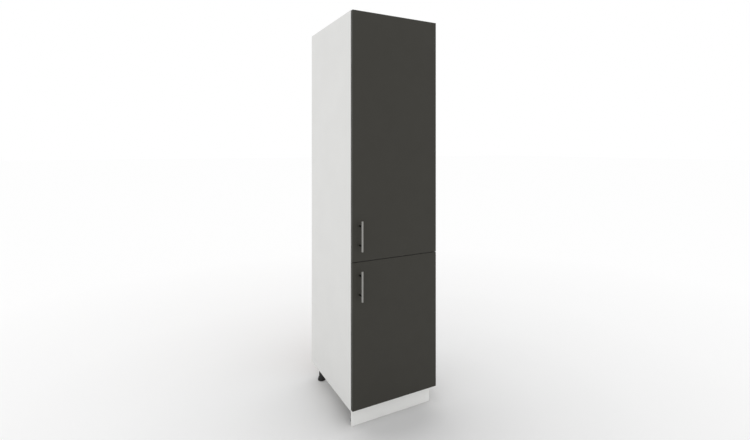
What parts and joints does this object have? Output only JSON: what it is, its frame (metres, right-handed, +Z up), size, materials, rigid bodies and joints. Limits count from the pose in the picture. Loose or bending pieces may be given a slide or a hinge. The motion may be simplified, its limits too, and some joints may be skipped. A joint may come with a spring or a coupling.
{
  "type": "tall pantry cabinet",
  "caption": "Tall narrow kitchen larder cabinet with a white carcass, stacked dark doors on concealed hinges, bar handles, shelves, a set-back plinth and screw-out legs.",
  "frame": {"origin": "on the floor, under the middle of the whole cabinet with its handles", "axes": "+X to the right seen from the front, towards the hinges; +Y from the doors to the back; +Z up"},
  "size_m": [0.5, 0.625, 2.07],
  "materials": {
    "white_board": "white melamine on chipboard, fine pearl",
    "dark_board": "dark grey melamine on chipboard, matt",
    "white_sheet": "white lacquered hardboard sheet",
    "handle_steel": "brushed bar",
    "hinge_nickel": "nickel plated",
    "black_plastic": "black moulded plastic",
    "white_plastic": "white extruded plastic",
    "raw_wood": "fluted raw beech",
    "bumper_rubber": "soft translucent dot"
  },
  "bodies": {
    "carcass": {"back_panel_joining_strip": "white_plastic", "back_panel_lower": "white_sheet", "back_panel_upper": "white_sheet", "bottom_panel": "white_board", "cam_bolts": "hinge_nickel", "cam_locks": "hinge_nickel", "fixed_shelf": "white_board", "hinge_arm_pins": "hinge_nickel", "hinge_arm_screws": "hinge_nickel", "hinge_arms": "hinge_nickel", "hinge_plate_screws": "hinge_nickel", "hinge_plates": "hinge_nickel", "leg_socket_back_left": "black_plastic", "leg_socket_back_right": "black_plastic", "leg_socket_front_left": "black_plastic", "leg_socket_front_right": "black_plastic", "leg_socket_screws": "hinge_nickel", "shelf_pins": "hinge_nickel", "side_panel_left": "white_board", "side_panel_right": "white_board", "top_panel": "white_board", "wall_bracket_left": "hinge_nickel", "wall_bracket_right": "hinge_nickel", "wall_bracket_screws": "hinge_nickel", "wood_dowels": "raw_wood"},
    "upper_outer_hinge_links": {"upper_outer_links": "hinge_nickel"},
    "upper_door": {"upper_door_panel": "dark_board", "upper_door_bumpers": "bumper_rubber", "upper_handle_bar": "handle_steel", "upper_handle_posts": "handle_steel", "upper_handle_screws": "hinge_nickel", "upper_hinge_cups": "hinge_nickel", "upper_hinge_cup_pins": "hinge_nickel", "upper_hinge_cup_screws": "hinge_nickel"},
    "upper_inner_hinge_links": {"upper_inner_links": "hinge_nickel"},
    "lower_outer_hinge_links": {"lower_outer_links": "hinge_nickel"},
    "lower_door": {"lower_door_panel": "dark_board", "lower_door_bumpers": "bumper_rubber", "lower_handle_bar": "handle_steel", "lower_handle_posts": "handle_steel", "lower_handle_screws": "hinge_nickel", "lower_hinge_cups": "hinge_nickel", "lower_hinge_cup_pins": "hinge_nickel", "lower_hinge_cup_screws": "hinge_nickel"},
    "lower_inner_hinge_links": {"lower_inner_links": "hinge_nickel"},
    "foot_front_left": {"leg_foot_front_left": "black_plastic"},
    "foot_front_right": {"leg_foot_front_right": "black_plastic"},
    "foot_back_left": {"leg_foot_back_left": "black_plastic"},
    "foot_back_right": {"leg_foot_back_right": "black_plastic"},
    "shelf_upper_1_board": {"shelf_upper_1": "white_board"},
    "shelf_upper_2_board": {"shelf_upper_2": "white_board"},
    "shelf_upper_3_board": {"shelf_upper_3": "white_board"},
    "shelf_lower_board": {"shelf_lower": "white_board"},
    "plinth": {"plinth_board": "white_board", "plinth_seal_strip": "white_plastic", "plinth_clips": "black_plastic", "plinth_clip_screws": "hinge_nickel"}
  },
  "joints": [
    {"name": "upper_outer_link_turn", "type": "hinge", "parent": "carcass", "child": "upper_outer_hinge_links", "pos_m": [0.2133, -0.2548, 1.449], "axis": [0, 0, 1], "range_deg": [-25, 0]},
    {"name": "upper_door_swing", "type": "hinge", "parent": "upper_outer_hinge_links", "child": "upper_door", "pos_m": [0.2379, -0.267, 1.449], "axis": [0, 0, 1], "range_deg": [0, 120]},
    {"name": "upper_inner_link_turn", "type": "hinge", "parent": "upper_door", "child": "upper_inner_hinge_links", "pos_m": [0.2341, -0.2629, 1.449], "axis": [0, 0, 1], "range_deg": [-157.96, 0]},
    {"name": "lower_outer_link_turn", "type": "hinge", "parent": "carcass", "child": "lower_outer_hinge_links", "pos_m": [0.2133, -0.2548, 0.4635], "axis": [0, 0, 1], "range_deg": [-25, 0]},
    {"name": "lower_door_swing", "type": "hinge", "parent": "lower_outer_hinge_links", "child": "lower_door", "pos_m": [0.2379, -0.267, 0.4635], "axis": [0, 0, 1], "range_deg": [0, 120]},
    {"name": "lower_inner_link_turn", "type": "hinge", "parent": "lower_door", "child": "lower_inner_hinge_links", "pos_m": [0.2341, -0.2629, 0.4635], "axis": [0, 0, 1], "range_deg": [-157.96, 0]},
    {"name": "foot_front_left_level", "type": "slide", "parent": "carcass", "child": "foot_front_left", "axis": [0, 0, -1], "range_m": [0, 0.025]},
    {"name": "foot_front_right_level", "type": "slide", "parent": "carcass", "child": "foot_front_right", "axis": [0, 0, -1], "range_m": [0, 0.025]},
    {"name": "foot_back_left_level", "type": "slide", "parent": "carcass", "child": "foot_back_left", "axis": [0, 0, -1], "range_m": [0, 0.025]},
    {"name": "foot_back_right_level", "type": "slide", "parent": "carcass", "child": "foot_back_right", "axis": [0, 0, -1], "range_m": [0, 0.025]},
    {"name": "shelf_upper_1_lift", "type": "slide", "parent": "carcass", "child": "shelf_upper_1_board", "axis": [0, 0, 1], "range_m": [0, 0.03]},
    {"name": "shelf_upper_2_lift", "type": "slide", "parent": "carcass", "child": "shelf_upper_2_board", "axis": [0, 0, 1], "range_m": [0, 0.03]},
    {"name": "shelf_upper_3_lift", "type": "slide", "parent": "carcass", "child": "shelf_upper_3_board", "axis": [0, 0, 1], "range_m": [0, 0.03]},
    {"name": "shelf_lower_lift", "type": "slide", "parent": "carcass", "child": "shelf_lower_board", "axis": [0, 0, 1], "range_m": [0, 0.03]},
    {"name": "plinth_pull", "type": "slide", "parent": "carcass", "child": "plinth", "axis": [0, -1, 0], "range_m": [0, 0.05]}
  ],
  "couplings": [
    {"joint": "upper_outer_link_turn", "follows": "upper_door_swing", "ratio": -0.2},
    {"joint": "upper_inner_link_turn", "follows": "upper_door_swing", "ratio": -1.308},
    {"joint": "lower_outer_link_turn", "follows": "lower_door_swing", "ratio": -0.2},
    {"joint": "lower_inner_link_turn", "follows": "lower_door_swing", "ratio": -1.308}
  ]
}
